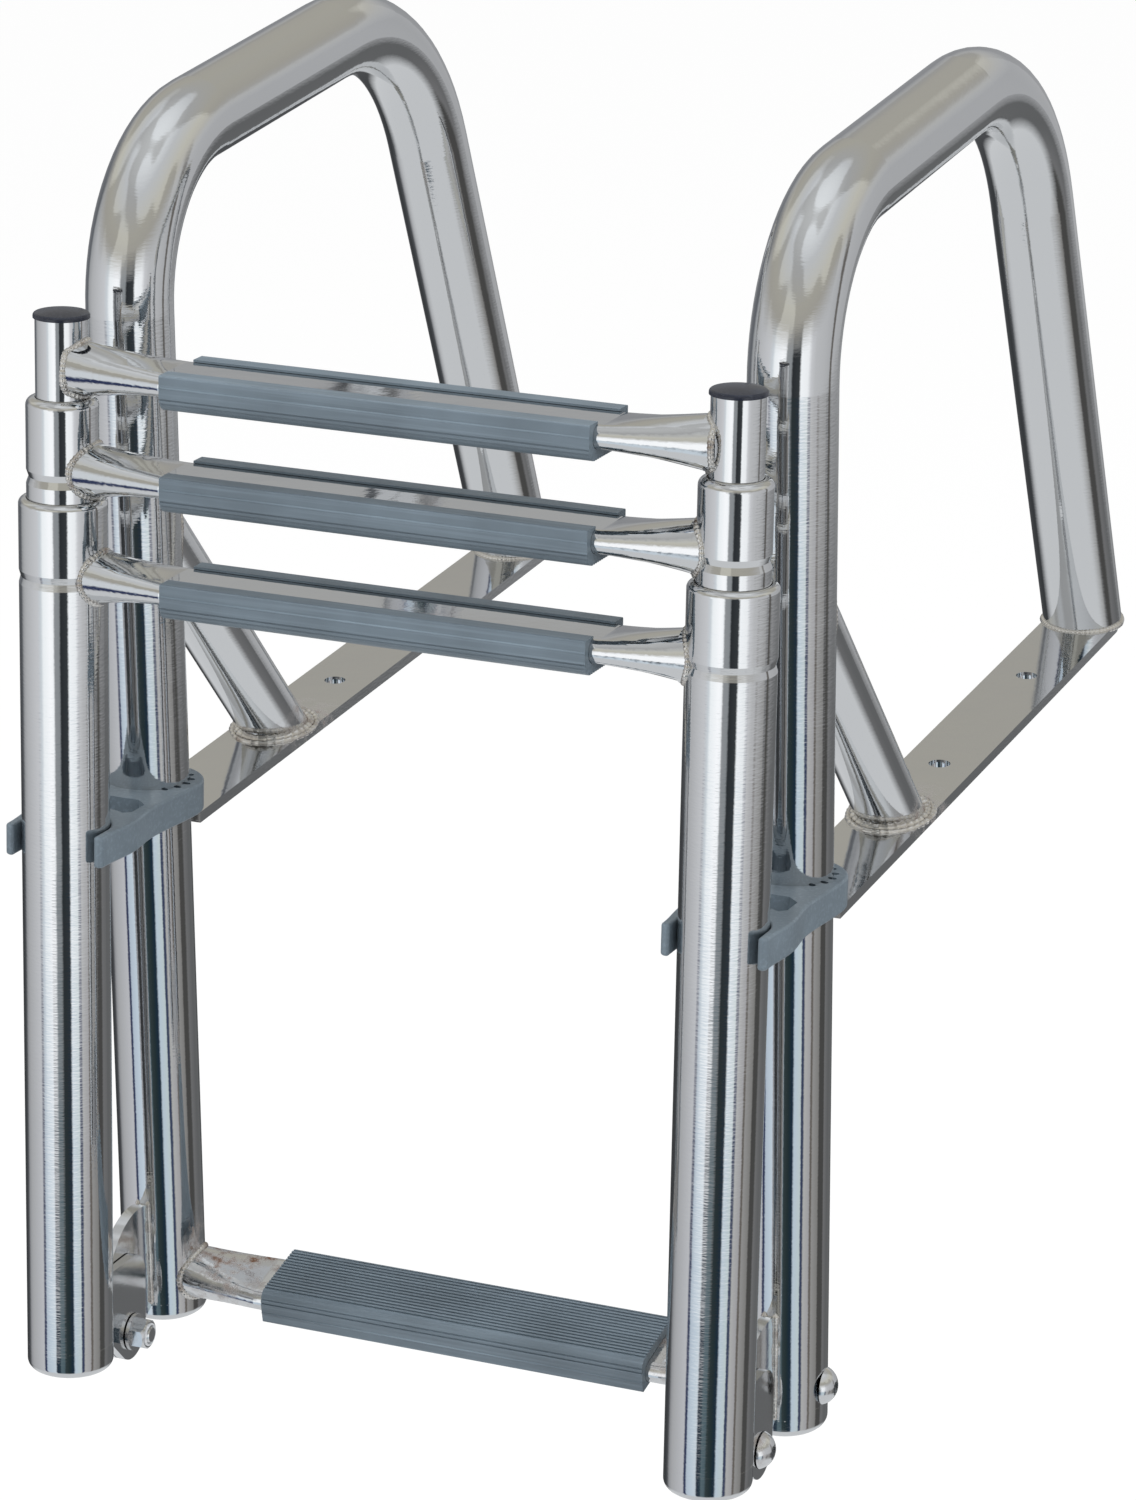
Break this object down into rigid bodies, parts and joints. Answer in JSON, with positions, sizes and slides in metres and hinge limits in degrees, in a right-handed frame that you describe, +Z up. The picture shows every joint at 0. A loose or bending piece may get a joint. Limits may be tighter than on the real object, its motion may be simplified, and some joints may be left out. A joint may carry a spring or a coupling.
{
  "type": "folding swim ladder",
  "caption": "Folding telescoping boat ladder: bent tube handrails on foot bars, hinged sliding section with ribbed treads, held upright by clips.",
  "frame": {"origin": "on the underside of the left foot bar, midway between its two fixing holes", "axes": "+X from the left side to the right side as seen from in front of the ladder, +Y back towards the boat, +Z up"},
  "size_m": [0.352, 0.5432, 0.5693],
  "materials": {
    "polished_steel": "mirror polished stainless steel tube",
    "bar_steel": "polished stainless steel plate",
    "bolt_steel": "polished stainless fasteners, slightly stained",
    "tread_plastic": "slate grey moulded plastic, fine ribs",
    "clip_plastic": "slate grey moulded plastic",
    "cap_plastic": "near black moulded plastic",
    "bush_plastic": "black nylon"
  },
  "bodies": {
    "frame": {"left_rail": "polished_steel", "left_foot_bar": "bar_steel", "left_brace": "polished_steel", "left_gusset": "bar_steel", "left_clip": "clip_plastic", "left_step_bolt": "bolt_steel", "left_hinge_bolt": "bolt_steel", "left_hinge_washer": "bolt_steel", "left_hinge_nut": "bolt_steel", "right_rail": "polished_steel", "right_foot_bar": "bar_steel", "right_brace": "polished_steel", "right_gusset": "bar_steel", "right_clip": "clip_plastic", "right_step_bolt": "bolt_steel", "right_hinge_bolt": "bolt_steel", "right_hinge_washer": "bolt_steel", "right_hinge_nut": "bolt_steel", "fixed_step": "polished_steel", "fixed_step_tread": "tread_plastic"},
    "outer_section": {"left_outer_tube": "polished_steel", "left_hinge_bracket": "bar_steel", "left_outer_bush": "bush_plastic", "right_outer_tube": "polished_steel", "right_hinge_bracket": "bar_steel", "right_outer_bush": "bush_plastic", "rung_3": "polished_steel", "rung_3_tread": "tread_plastic"},
    "mid_section": {"left_mid_tube": "polished_steel", "left_mid_bush": "bush_plastic", "left_mid_foot": "bush_plastic", "right_mid_tube": "polished_steel", "right_mid_bush": "bush_plastic", "right_mid_foot": "bush_plastic", "rung_2": "polished_steel", "rung_2_tread": "tread_plastic"},
    "inner_section": {"left_inner_tube": "polished_steel", "left_inner_foot": "bush_plastic", "left_cap": "cap_plastic", "right_inner_tube": "polished_steel", "right_inner_foot": "bush_plastic", "right_cap": "cap_plastic", "rung_1": "polished_steel", "rung_1_tread": "tread_plastic"}
  },
  "joints": [
    {"name": "ladder_hinge", "type": "hinge", "parent": "frame", "child": "outer_section", "pos_m": [0, -0.3065, -0.2245], "axis": [1, 0, 0], "range_deg": [0, 163]},
    {"name": "mid_slide", "type": "slide", "parent": "outer_section", "child": "mid_section", "axis": [0, 0.0652, 0.9979], "range_m": [0, 0.25]},
    {"name": "inner_slide", "type": "slide", "parent": "mid_section", "child": "inner_section", "axis": [0, 0.0652, 0.9979], "range_m": [0, 0.25]}
  ]
}
